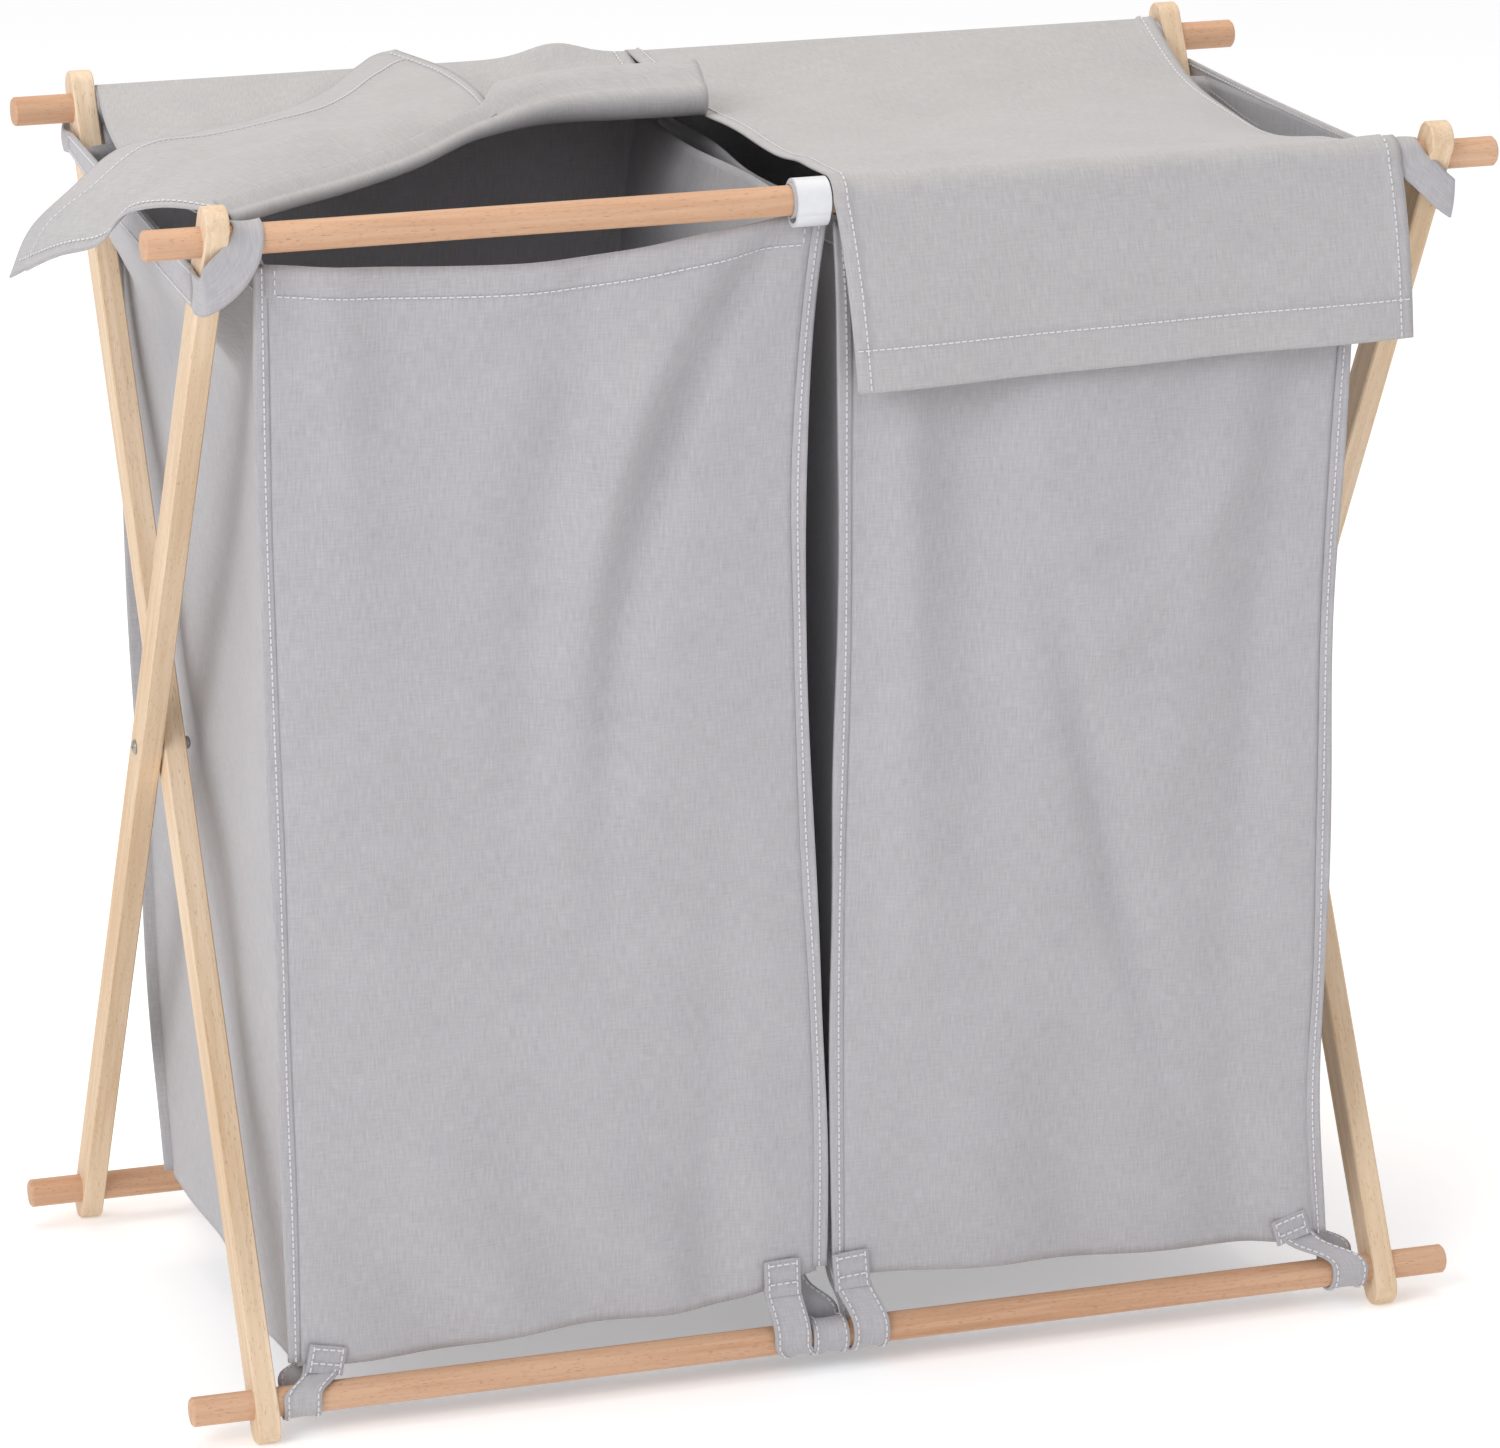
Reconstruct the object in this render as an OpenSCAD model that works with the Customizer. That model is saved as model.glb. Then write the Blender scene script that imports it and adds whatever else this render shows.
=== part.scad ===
// Folding wooden laundry sorter with two hanging cloth bags and two cloth lids.
// Millimetres, +Z up. X runs along the bars, -Y is the front, and Z = 0 is the floor.
// The origin is on the floor, under the middle of the frame.

/* [Frame] */
// Length of the two bars of the outer frame
outer_bar_l = 740; // [700:5:800]
// Length of the two bars of the inner frame
inner_bar_l = 720; // [690:5:730]
// Diameter of every bar
bar_d = 16; // [14:0.5:17]
// Distance front to back between bar centres, with the frame open
spread = 348; // [320:2:380]
// Height from the bottom bars' centres to the top bars' centres
rise = 632; // [580:2:680]
// Bevel at the bars' ends
bar_ease = 1.2; // [0.5:0.1:2]

/* [Legs] */
// Width of a leg, across its face
leg_w = 20; // [18:0.5:22]
// Thickness of a leg, along the bars
leg_t = 12.5; // [10:0.5:13]
// Distance from a bar's centre to the leg's rounded tip
leg_end = 21; // [18:0.5:26]
// Bevel along a leg's edges
leg_ease = 0.8; // [0.3:0.1:1.5]
// Length of bar that stands out past an outer leg
outer_stub = 29.5; // [25:0.5:35]
// Gap between an outer and an inner leg, which holds the pivot washer
leg_gap = 1; // [0.8:0.1:1.5]

/* [Pivot] */
// Diameter of the pivot bolt
pivot_d = 5; // [4:0.5:6]
// Diameter of the bolt's domed head
pivot_head_d = 8; // [7:0.5:10]
// Diameter of the cap nut's flange
pivot_nut_d = 10; // [9:0.5:12]
// Diameter of the washer between the legs
pivot_washer_d = 18; // [12:1:20]

/* [Bags] */
// Thickness that the cloth is drawn with
cloth_t = 1.6; // [1:0.1:2]
// Width of one bag
bag_w = 296; // [280:1:298]
// Gap between the two bags
bag_gap = 6; // [4:1:12]
// Left edge of the left bag
bag_left_x = -305; // [-308:1:-300]
// Outer face of the front panels
bag_front_y = -171; // [-172:1:-160]
// Outer face of the back panels
bag_back_y = 150; // [120:1:156]
// Underside of the bags
bag_bottom_z = 42.4; // [38:0.2:60]
// Top hem of the bags
bag_top_z = 636; // [600:1:637]
// Width of the straps that hold the bags to the bottom bars
strap_w = 21; // [16:1:25]
// Height of the cloth bands that join the top bars at each end
band_h = 22; // [16:1:26]

/* [Lids] */
// Right edge of the closed lid
lid_right_x = 305; // [296:1:305]
// Sag of the closed lid between the bars
lid_sag = 18; // [5:1:30]
// Height of the lid's front hem above the floor
lid_hem_z = 552; // [500:1:600]
// Thickness of the open lid's folded layers
fold_t = 12; // [6:1:20]
// Furthest left that the open lid's corner hangs
tip_x = -369; // [-370:1:-350]

/* [Hidden] */
$fn = 48;

bar_r = bar_d / 2;
bar_y = spread / 2;
lean = atan(spread / rise);
leg_c = sqrt(spread * spread + rise * rise);
foot_z = (leg_end - leg_w / 2) * cos(lean) + leg_w / 2;
top_z = foot_z + rise;
pivot_z = foot_z + rise / 2;
outer_face_x = outer_bar_l / 2 - outer_stub;
outer_in_x = outer_face_x - leg_t;
inner_face_x = outer_in_x - leg_gap;
inner_in_x = inner_face_x - leg_t;

glue = 0.05;          // radial glue line between a bar and its hole
run = 0.06;           // radial clearance of the pivot
touch = 0.1;          // clearance under the bolt's head and the nut
soft = 0.4;           // clearance of cloth from what it lies on
head_h = 1.8;
nut_h = 4.2;
nut_wall = 1.2;
recess_w = 0.9;
recess_l = 4;
recess_depth = 0.8;

ring_in = bar_r + soft;             // cloth wrapped round a bar
ring_out = ring_in + cloth_t;
right_x0 = bag_left_x + bag_w + bag_gap;
right_x1 = right_x0 + bag_w;
side_x0 = outer_face_x + 0.5;       // the side bands run just outside the outer legs
side_x1 = side_x0 + cloth_t;
band_z1 = top_z - bar_r - 2.6;
band_z0 = band_z1 - band_h;
hook_y = bar_y + bar_r - 1.4;       // cloth that passes in front of a leg's top
hook_in_x = lid_right_x + 1;        // inner end of the corner loops
hook_return = 165;                  // where a corner loop meets the side band
tab_x = [-27, -6];                  // cloth tab on the bar under the clip
clip_x = [-25.5, -7.5];
clip_wall = 2;
clip_drop = 4.6;                    // the clip's jaw hangs below the bar by this much
lid_r = ring_out + soft + cloth_t / 2;
lid_gap_x = 1;                      // gap between the closed lid and the bags' middle
front_strap_x = [-302.5, -25, 15.5, 302.5];
rear_strap_x = [-266, -25, 15.5, 266];

// Unit normal of a 2D path at point i, to its left.
function path_normal(p, i) =
    let (a = p[max(i - 1, 0)], b = p[min(i + 1, len(p) - 1)], d = b - a)
    [-d[1], d[0]] / norm(d);

// A strip of cloth of thickness t along a 2D path, as a closed outline.
module strip(p, t) {
    n = len(p) - 1;
    near = [for (i = [0:n]) p[i] + path_normal(p, i) * t / 2];
    far = [for (i = [n:-1:0]) p[i] - path_normal(p, i) * t / 2];
    polygon(concat(near, far));
}

// Extrudes an outline drawn in (y, z) along X, from x0 to x1.
module along_x(x0, x1) {
    translate([x0, 0, 0]) rotate([90, 0, 90]) linear_extrude(height = x1 - x0) children();
}

// A ring of cloth round a bar whose centre is at (y, z).
module wrap(x0, x1, y, z, r0, r1) {
    translate([x0, y, z]) rotate([0, 90, 0]) difference() {
        cylinder(h = x1 - x0, r = r1);
        translate([0, 0, -1]) cylinder(h = x1 - x0 + 2, r = r0);
    }
}

// Mirrors a right-hand piece to the left when side is -1.
module on_side(side) {
    if (side < 0) {
        mirror([1, 0, 0]) children();
    } else {
        children();
    }
}

// ---- wood ----

// Half of a leg's rounded, bevelled end, turned about the X axis.
module leg_tip() {
    r = leg_w / 2;
    e = leg_ease;
    rotate([0, 90, 0]) rotate([0, 0, 90]) rotate_extrude(angle = 180, $fn = 64)
        polygon([[0, 0], [r - e, 0], [r, e], [r, leg_t - e], [r - e, leg_t], [0, leg_t]]);
}

// One leg, along +Z from its lower bar's centre, with its inner face at X = 0.
module leg() {
    r = leg_w / 2;
    e = leg_ease;
    flat = leg_end - r;
    difference() {
        union() {
            translate([0, 0, -flat]) linear_extrude(height = leg_c + 2 * flat)
                polygon([[0, e - r], [e, -r], [leg_t - e, -r], [leg_t, e - r],
                         [leg_t, r - e], [leg_t - e, r], [e, r], [0, r - e]]);
            translate([0, 0, leg_c + flat]) leg_tip();
            translate([0, 0, -flat]) mirror([0, 0, 1]) leg_tip();
        }
        for (z = [0, leg_c]) {
            translate([-1, 0, z]) rotate([0, 90, 0]) cylinder(h = leg_t + 2, r = bar_r + glue);
        }
        translate([-1, 0, leg_c / 2]) rotate([0, 90, 0])
            cylinder(h = leg_t + 2, r = pivot_d / 2 + run);
    }
}

// The outer legs run from the bottom at the back to the top at the front.
module outer_leg(side) {
    color([0.84, 0.73, 0.60]) on_side(side)
        translate([outer_in_x, bar_y, foot_z]) rotate([lean, 0, 0]) leg();
}

// The inner legs run from the bottom at the front to the top at the back.
module inner_leg(side) {
    color([0.84, 0.73, 0.60]) on_side(side)
        translate([inner_in_x, -bar_y, foot_z]) rotate([-lean, 0, 0]) leg();
}

// A round bar along X, with bevelled ends.
module bar(l, y, z) {
    e = bar_ease;
    h = l / 2;
    color([0.80, 0.64, 0.50]) translate([0, y, z]) rotate([0, 90, 0]) rotate_extrude()
        polygon([[0, -h], [bar_r - e, -h], [bar_r, e - h], [bar_r, h - e], [bar_r - e, h], [0, h]]);
}

// ---- pivots ----

module pivot_bolt(side) {
    r = pivot_d / 2;
    head_r = pivot_head_d / 2;
    reach = outer_face_x - inner_in_x + nut_h - nut_wall - 0.4;
    color([0.62, 0.61, 0.59]) on_side(side)
        translate([outer_face_x + touch, 0, pivot_z]) rotate([0, 90, 0]) difference() {
            rotate_extrude()
                polygon([[0, -reach], [r, -reach], [r, 0], [head_r, 0], [head_r, 0.5],
                         [head_r * 0.9, 1.1], [head_r * 0.65, 1.6], [0, head_h]]);
            for (a = [0, 90]) {
                rotate([0, 0, a]) translate([-recess_l / 2, -recess_w / 2, head_h - recess_depth])
                    cube([recess_l, recess_w, recess_depth + 1]);
            }
        }
}

module pivot_nut(side) {
    r = pivot_nut_d / 2;
    color([0.62, 0.61, 0.59]) on_side(side)
        translate([inner_in_x - touch, 0, pivot_z]) rotate([0, -90, 0]) difference() {
            rotate_extrude()
                polygon([[0, 0], [r, 0], [r, 1], [r * 0.72, 1.4], [r * 0.7, 3],
                         [r * 0.45, 3.9], [0, nut_h]]);
            translate([0, 0, -1]) cylinder(h = nut_h - nut_wall + 1, r = pivot_d / 2 + glue);
        }
}

module pivot_washer(side) {
    color([0.70, 0.70, 0.68]) on_side(side)
        translate([inner_face_x + touch, 0, pivot_z]) rotate([0, 90, 0]) difference() {
            cylinder(h = leg_gap - 2 * touch, r = pivot_washer_d / 2);
            translate([0, 0, -1]) cylinder(h = leg_gap + 2, r = pivot_d / 2 + run);
        }
}

// ---- clip at the middle of the top front bar ----

// A snap-on clip: a round back over the bar and a deeper jaw that grips the cloth below it.
module bar_clip() {
    bore = bar_r + 1.6;
    color([0.93, 0.93, 0.94]) along_x(clip_x[0], clip_x[1]) translate([-bar_y, top_z])
        difference() {
            union() {
                circle(r = bore + clip_wall);
                translate([0, -clip_drop]) circle(r = bore);
            }
            circle(r = bore);
            translate([0, -clip_drop]) circle(r = bore - clip_wall);
            rotate([0, 0, -45]) translate([bore - 4, -2]) square([10, 4]);
        }
}

// The bags' hanging tab: it goes round the bar under the clip and is gripped by the jaw.
module centre_tab() {
    color([0.73, 0.72, 0.74])
        wrap(tab_x[0], tab_x[1], -bar_y, top_z, bar_r + 0.15, bar_r + 1.5);
}

// ---- bags ----

module cloth() {
    color([0.72, 0.71, 0.73]) children();
}

module bag_front(x0) {
    cloth() translate([x0, bag_front_y, bag_bottom_z])
        cube([bag_w, cloth_t, bag_top_z - bag_bottom_z]);
}

module bag_back(x0) {
    cloth() translate([x0, bag_back_y - cloth_t, bag_bottom_z])
        cube([bag_w, cloth_t, bag_top_z - bag_bottom_z]);
}

module bag_side(x0) {
    depth = bag_back_y - bag_front_y - 2 * cloth_t;
    cloth() translate([x0, bag_front_y + cloth_t, bag_bottom_z])
        cube([cloth_t, depth, bag_top_z - bag_bottom_z]);
}

module bag_bottom(x0) {
    depth = bag_back_y - bag_front_y - 2 * cloth_t;
    cloth() translate([x0 + cloth_t, bag_front_y + cloth_t, bag_bottom_z])
        cube([bag_w - 2 * cloth_t, depth, cloth_t]);
}

// The straight run of the band that joins the two top bars at one end, outside the legs.
module side_band(side) {
    cloth() on_side(side) translate([side_x0, 1 - hook_return, band_z0])
        cube([cloth_t, 2 * (hook_return - 1), band_h]);
}

// One end of a band: over the bar beside the leg, then round the leg below the bar.
module corner_loop(side, back, ring_x1) {
    s = back ? 1 : -1;
    y0 = min(s * hook_y, s * (hook_y + cloth_t));
    riser = top_z - bar_r + 2.4 - band_z0;
    cloth() on_side(side) union() {
        wrap(hook_in_x, ring_x1, s * bar_y, top_z, ring_in, ring_out);
        translate([hook_in_x, y0, band_z0]) cube([side_x1 - hook_in_x, cloth_t, band_h]);
        translate([hook_in_x, y0, band_z0]) cube([ring_x1 - hook_in_x, cloth_t, riser]);
        translate([side_x0, back ? hook_return : -hook_y, band_z0])
            cube([cloth_t, hook_y - hook_return, band_h]);
    }
}

module front_corner_loop(side) {
    corner_loop(side, false, outer_in_x - 2);
}

module rear_corner_loop(side) {
    corner_loop(side, true, inner_in_x - 0.6);
}

// A strap from a bag's bottom edge, round the bottom bar and back; s is -1 at the front.
module strap(x, s, edge_y) {
    x0 = x - strap_w / 2;
    mid = (ring_in + ring_out) / 2;
    seam = edge_y + s * (soft + cloth_t / 2);
    cloth() union() {
        wrap(x0, x0 + strap_w, s * bar_y, foot_z, ring_in, ring_out);
        along_x(x0, x0 + strap_w)
            strip([[s * (bar_y + mid), foot_z], [s * (bar_y + mid), foot_z + 8],
                   [seam, bag_bottom_z + 5], [seam, bag_bottom_z + 22]], cloth_t);
        along_x(x0, x0 + strap_w)
            strip([[s * (bar_y - mid), foot_z], [s * (bar_y - mid), foot_z + 10],
                   [edge_y - s * 10, bag_bottom_z - 1.3]], cloth_t);
    }
}

module front_strap(i) {
    strap(front_strap_x[i - 1], -1, bag_front_y);
}

module rear_strap(i) {
    strap(rear_strap_x[i - 1], 1, bag_back_y);
}

// ---- lids ----

// The sewn tunnel that the top rear bar runs through, with its skirt down to the back panel.
module rear_casing(x0, x1) {
    a = (ring_in + ring_out) / 2 * cos(45);
    cloth() union() {
        wrap(x0, x1, bar_y, top_z, ring_in, ring_out);
        along_x(x0, x1)
            strip([[bar_y - a, top_z - a], [bag_back_y + 2, bag_top_z + 1.6]], cloth_t);
    }
}

// The closed lid: from the tunnel's top, sagging to the front bar, over it and down.
module right_lid() {
    sag = [for (i = [0:16]) let (u = 1 - i / 8)
        [u * bar_y, top_z + lid_r - lid_sag * (1 - u * u)]];
    over = [for (a = [105:15:180]) [-bar_y + lid_r * cos(a), top_z + lid_r * sin(a)]];
    flap = [[-bar_y - lid_r - 1, (top_z + lid_hem_z) / 2], [-bar_y - lid_r, lid_hem_z]];
    cloth() along_x(right_x0 - lid_gap_x, lid_right_x) strip(concat(sag, over, flap), cloth_t);
}

// The open lid as it lies: folded cloth in a wedge on the bars, and a corner hanging
// down past the left end.
module left_lid() {
    base = top_z + ring_out + 0.6;
    hang = top_z - 42;
    right = right_x0 - bag_gap - 2;
    cloth() union() {
        translate([0, 0, base]) linear_extrude(height = fold_t)
            polygon([[-310, 168], [right, 168], [right, 90], [-150, -75], [-310, -150]]);
        translate([0, 40, 0]) rotate([90, 0, 0]) linear_extrude(height = 150)
            polygon([[-300, base], [-300, base + fold_t], [-345, base + fold_t - 6],
                     [tip_x, hang + 4], [tip_x + 2, hang], [-345, base - 4]]);
    }
}

outer_leg(-1);  // outer_leg_left
outer_leg(1);  // outer_leg_right
inner_leg(-1);  // inner_leg_left
inner_leg(1);  // inner_leg_right
bar(outer_bar_l, -bar_y, top_z);  // top_front_bar
bar(outer_bar_l, bar_y, foot_z);  // bottom_rear_bar
bar(inner_bar_l, bar_y, top_z);  // top_rear_bar
bar(inner_bar_l, -bar_y, foot_z);  // bottom_front_bar
pivot_bolt(-1);  // pivot_bolt_left
pivot_bolt(1);  // pivot_bolt_right
pivot_nut(-1);  // pivot_nut_left
pivot_nut(1);  // pivot_nut_right
pivot_washer(-1);  // pivot_washer_left
pivot_washer(1);  // pivot_washer_right
bar_clip();
centre_tab();
bag_front(bag_left_x);  // left_bag_front
bag_back(bag_left_x);  // left_bag_back
bag_side(bag_left_x);  // left_bag_outer_side
bag_side(bag_left_x + bag_w - cloth_t);  // left_bag_inner_side
bag_bottom(bag_left_x);  // left_bag_bottom
bag_front(right_x0);  // right_bag_front
bag_back(right_x0);  // right_bag_back
bag_side(right_x1 - cloth_t);  // right_bag_outer_side
bag_side(right_x0);  // right_bag_inner_side
bag_bottom(right_x0);  // right_bag_bottom
side_band(-1);  // left_side_band
side_band(1);  // right_side_band
front_corner_loop(-1);  // front_corner_loop_left
front_corner_loop(1);  // front_corner_loop_right
rear_corner_loop(-1);  // rear_corner_loop_left
rear_corner_loop(1);  // rear_corner_loop_right
rear_casing(bag_left_x, right_x0 - bag_gap);  // left_rear_casing
rear_casing(right_x0, lid_right_x);  // right_rear_casing
left_lid();
right_lid();
front_strap(1);  // front_strap_1
front_strap(2);  // front_strap_2
front_strap(3);  // front_strap_3
front_strap(4);  // front_strap_4
rear_strap(1);  // rear_strap_1
rear_strap(2);  // rear_strap_2
rear_strap(3);  // rear_strap_3
rear_strap(4);  // rear_strap_4
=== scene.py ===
"""A folding wooden laundry sorter: a cross-legged stand, two hanging cloth bags and their lids.

Metres, +Z up, X along the bars, -Y the front. The wood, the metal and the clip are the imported
CAD parts; the cloth pieces made here replace the CAD's plain soft solids.
"""

import bmesh
import bpy
import numpy as np
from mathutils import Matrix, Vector


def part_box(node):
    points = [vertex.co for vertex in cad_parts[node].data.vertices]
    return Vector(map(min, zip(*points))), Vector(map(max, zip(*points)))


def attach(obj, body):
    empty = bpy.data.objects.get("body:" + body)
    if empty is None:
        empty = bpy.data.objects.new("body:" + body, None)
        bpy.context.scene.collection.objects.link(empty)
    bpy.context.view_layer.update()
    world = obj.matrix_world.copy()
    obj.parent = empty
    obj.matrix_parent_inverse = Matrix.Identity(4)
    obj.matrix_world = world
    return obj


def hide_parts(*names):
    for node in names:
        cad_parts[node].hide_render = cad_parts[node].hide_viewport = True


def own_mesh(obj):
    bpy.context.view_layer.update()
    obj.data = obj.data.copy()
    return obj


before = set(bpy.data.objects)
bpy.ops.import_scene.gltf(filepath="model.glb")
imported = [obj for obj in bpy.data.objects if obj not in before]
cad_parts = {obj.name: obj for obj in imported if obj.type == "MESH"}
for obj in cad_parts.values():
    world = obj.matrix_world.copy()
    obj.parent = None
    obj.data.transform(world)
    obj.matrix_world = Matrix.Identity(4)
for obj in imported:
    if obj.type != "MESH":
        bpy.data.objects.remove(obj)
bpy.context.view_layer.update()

# ---- The studio ----
# A plain pale floor, one large soft light from the upper left, a warmer one overhead and an
# even white surround. The camera stands to the left of the front and looks down a little.

camera_place = Vector((-1.1310, -3.4602, 1.4129))
camera_aim = Vector((0.0089, 0.0, 0.3157))
camera_lens = 164.2

camera_data = bpy.data.cameras.new("camera")
camera_data.lens = camera_lens
camera_data.sensor_width = 36
camera = bpy.data.objects.new("camera", camera_data)
camera.location = camera_place
camera.rotation_euler = (camera_aim - camera_place).to_track_quat("-Z", "Y").to_euler()
bpy.context.collection.objects.link(camera)
bpy.context.scene.camera = camera
bpy.context.scene.view_settings.view_transform = "Standard"


def linear(hex_colour):
    """An sRGB hex colour as linear RGBA, by the sRGB curve on each channel."""
    s = np.array([int(hex_colour[i : i + 2], 16) for i in (1, 3, 5)]) / 255
    rgb = np.where(s <= 0.04045, s / 12.92, ((s + 0.055) / 1.055) ** 2.4)
    return (*rgb.tolist(), 1.0)


def new_material(name, **shader):
    """A material with one Principled shader, whose sockets are set from keywords."""
    material = bpy.data.materials.new(name)
    material.use_nodes = True
    principled = material.node_tree.nodes["Principled BSDF"]
    for key, value in shader.items():
        principled.inputs[key.replace("_", " ").title()].default_value = value
    return material, material.node_tree, principled


def softbox(name, place, aim, size, watts, tint):
    """A square area light at place, turned towards aim."""
    lamp = bpy.data.lights.new(name, "AREA")
    lamp.size, lamp.energy = size, watts
    lamp.color = linear(tint)[:3]
    holder = bpy.data.objects.new(name, lamp)
    holder.location = place
    holder.rotation_euler = (Vector(aim) - Vector(place)).to_track_quat("-Z", "Y").to_euler()
    bpy.context.collection.objects.link(holder)


softbox("key", (-3.0, -2.3, 2.8), (-0.2, 0, 0.4), 2.2, 66, "#FFFFFF")
softbox("overhead", (0.0, 0.5, 3.4), (0, 0, 0.3), 2.6, 43, "#FFF4E0")

surround = bpy.data.worlds.new("white surround")
surround.use_nodes = True
surround.node_tree.nodes["Background"].inputs["Color"].default_value = linear("#F7F8FC")
surround.node_tree.nodes["Background"].inputs["Strength"].default_value = 0.735
bpy.context.scene.world = surround

floor_half = 30.0
floor_mesh = bpy.data.meshes.new("floor")
floor_corners = [(x * floor_half, y * floor_half, 0) for x, y in ((-1, -1), (1, -1), (1, 1), (-1, 1))]
floor_mesh.from_pydata(floor_corners, [], [(0, 1, 2, 3)])
floor_material, _, _ = new_material(
    "white paper sweep", base_color=linear("#F6F6F6"), roughness=0.9,
    emission_color=linear("#FFFFFF"), emission_strength=0.24,
)
floor_mesh.materials.append(floor_material)
floor = bpy.data.objects.new("floor", floor_mesh)
bpy.context.collection.objects.link(floor)

# ---- Legs ----
# Four flat legs of rubberwood, sawn, rounded at the ends and sanded, left unvarnished. The
# grain runs along each leg, so its pattern is turned with the leg's lean.

bar_y = (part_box("top_rear_bar")[0].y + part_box("top_rear_bar")[1].y) / 2
top_z = (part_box("top_rear_bar")[0].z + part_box("top_rear_bar")[1].z) / 2
foot_z = (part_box("bottom_front_bar")[0].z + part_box("bottom_front_bar")[1].z) / 2
bar_r = (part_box("top_rear_bar")[1].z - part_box("top_rear_bar")[0].z) / 2
leg_lean = float(np.arctan2(2 * bar_y, top_z - foot_z))


def add(tree, kind, sockets=None, **settings):
    """Adds a shader node, applies its settings, and sets or links its input sockets."""
    made = tree.nodes.new(kind)
    for key, value in settings.items():
        setattr(made, key, value)
    for key, value in (sockets or {}).items():
        if isinstance(value, bpy.types.NodeSocket):
            tree.links.new(value, made.inputs[key])
        else:
            made.inputs[key].default_value = value
    return made


def noise(tree, place, scale=1, stretch=None, **more):
    """A noise texture's value at place, which is first stretched on each axis if asked."""
    if stretch:
        place = add(tree, "ShaderNodeMapping", {"Vector": place, "Scale": stretch}).outputs["Vector"]
    return add(tree, "ShaderNodeTexNoise", {"Vector": place, "Scale": scale, **more}).outputs["Fac"]


def maths(tree, operation, first, second):
    """The result of one arithmetic node."""
    return add(tree, "ShaderNodeMath", {0: first, 1: second}, operation=operation).outputs[0]


def blend(tree, share, first, second):
    """A colour mixed from first to second by share. Each is a hex colour or a socket."""
    mix = add(tree, "ShaderNodeMix", {"Factor": share}, data_type="RGBA")
    for socket, colour in zip([s for s in mix.inputs if s.type == "RGBA"], (first, second)):
        if isinstance(colour, str):
            socket.default_value = linear(colour)
        else:
            tree.links.new(colour, socket)
    return next(s for s in mix.outputs if s.type == "RGBA")


def relief(tree, principled, height, strength, distance):
    """Gives a shader its surface relief from a height."""
    sockets = {"Height": height, "Strength": strength, "Distance": distance}
    normal = add(tree, "ShaderNodeBump", sockets).outputs["Normal"]
    tree.links.new(normal, principled.inputs["Normal"])


def wood(name, light, dark, pore, turn, growth, bump):
    """Straight-grained wood: soft growth bands and short dark pores, both stretched along the
    grain. Turn is the rotation that brings the grain onto the pattern's Z."""
    pore_size, pore_share = 0.0006, 0.62
    material, tree, principled = new_material(name, roughness=0.62)
    place = add(tree, "ShaderNodeTexCoord").outputs["Object"]
    turned = add(tree, "ShaderNodeMapping", {"Vector": place, "Rotation": turn}).outputs["Vector"]
    bands = noise(
        tree, turned, stretch=(1 / growth, 1 / growth, 1 / (growth * 26)),
        Detail=5, Roughness=0.62, Distortion=0.6,
    )
    patches = noise(tree, turned, stretch=(14, 14, 3.2), Detail=2)
    mixed = maths(tree, "ADD", bands, patches)
    tone = add(
        tree, "ShaderNodeMapRange", {"Value": mixed, "From Min": 0.72, "From Max": 1.3}
    ).outputs["Result"]
    flecks = noise(
        tree, turned, stretch=(1 / pore_size, 1 / pore_size, 1 / (pore_size * 7)), Detail=1.5
    )
    fleck_mask = add(
        tree, "ShaderNodeMapRange",
        {"Value": flecks, "From Min": pore_share, "From Max": pore_share + 0.09, "To Max": 0.45},
    ).outputs["Result"]
    colour = blend(tree, fleck_mask, blend(tree, tone, dark, light), pore)
    tree.links.new(colour, principled.inputs["Base Color"])
    relief(tree, principled, maths(tree, "SUBTRACT", bands, fleck_mask), bump, 0.0004)
    return material


def finish_node(name, material):
    """Gives a CAD node its material in every slot."""
    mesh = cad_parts[name].data
    if not mesh.materials:
        mesh.materials.append(material)
    for i in range(len(mesh.materials)):
        mesh.materials[i] = material


for frame_name, sign in (("outer", -1), ("inner", 1)):
    leg_wood = wood(
        f"rubberwood, {frame_name} legs", "#EAD4BA", "#D0B18C", "#A57E57",
        (sign * leg_lean, 0, 0), growth=0.0042, bump=0.25,
    )
    for side in ("left", "right"):
        finish_node(f"{frame_name}_leg_{side}", leg_wood)

# ---- Bars ----
# Four turned beech dowels glued through the legs. Beech is pinker than the legs and is covered
# in small dark rays, which show as short dashes along the bar.

bar_wood = wood(
    "turned beech", "#D6AF90", "#BC8D6B", "#8F6040",
    (0, np.pi / 2, 0), growth=0.0036, bump=0.15,
)
for name in ("top_front_bar", "bottom_rear_bar", "top_rear_bar", "bottom_front_bar"):
    finish_node(name, bar_wood)

# ---- Pivots ----
# A bolt, a washer and a cap nut at each crossing, in zinc-plated steel: dull, greyish and
# finely scratched.


def mottled(name, first, second, scale, detail=2, **shader):
    """A material whose colour drifts between two by noise, with its tree, shader and noise."""
    material, tree, principled = new_material(name, **shader)
    place = add(tree, "ShaderNodeTexCoord").outputs["Object"]
    grain = noise(tree, place, scale, Detail=detail)
    tree.links.new(blend(tree, grain, first, second), principled.inputs["Base Color"])
    return material, tree, principled, grain


zinc, zinc_tree, zinc_shader, zinc_grain = mottled(
    "zinc-plated steel", "#8F8C86", "#B9B6AF", 900, detail=3, metallic=1.0, roughness=0.42
)
zinc_rough = add(
    zinc_tree, "ShaderNodeMapRange", {"Value": zinc_grain, "To Min": 0.32, "To Max": 0.55}
).outputs["Result"]
zinc_tree.links.new(zinc_rough, zinc_shader.inputs["Roughness"])
for part in ("bolt", "nut", "washer"):
    for side in ("left", "right"):
        finish_node(f"pivot_{part}_{side}", zinc)

# ---- Bar clip ----
# A moulded nylon clip, snapped over the middle of the top front bar on the cloth tab below it.
# White and slightly shiny, with the faint ripple of a moulding.

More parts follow.
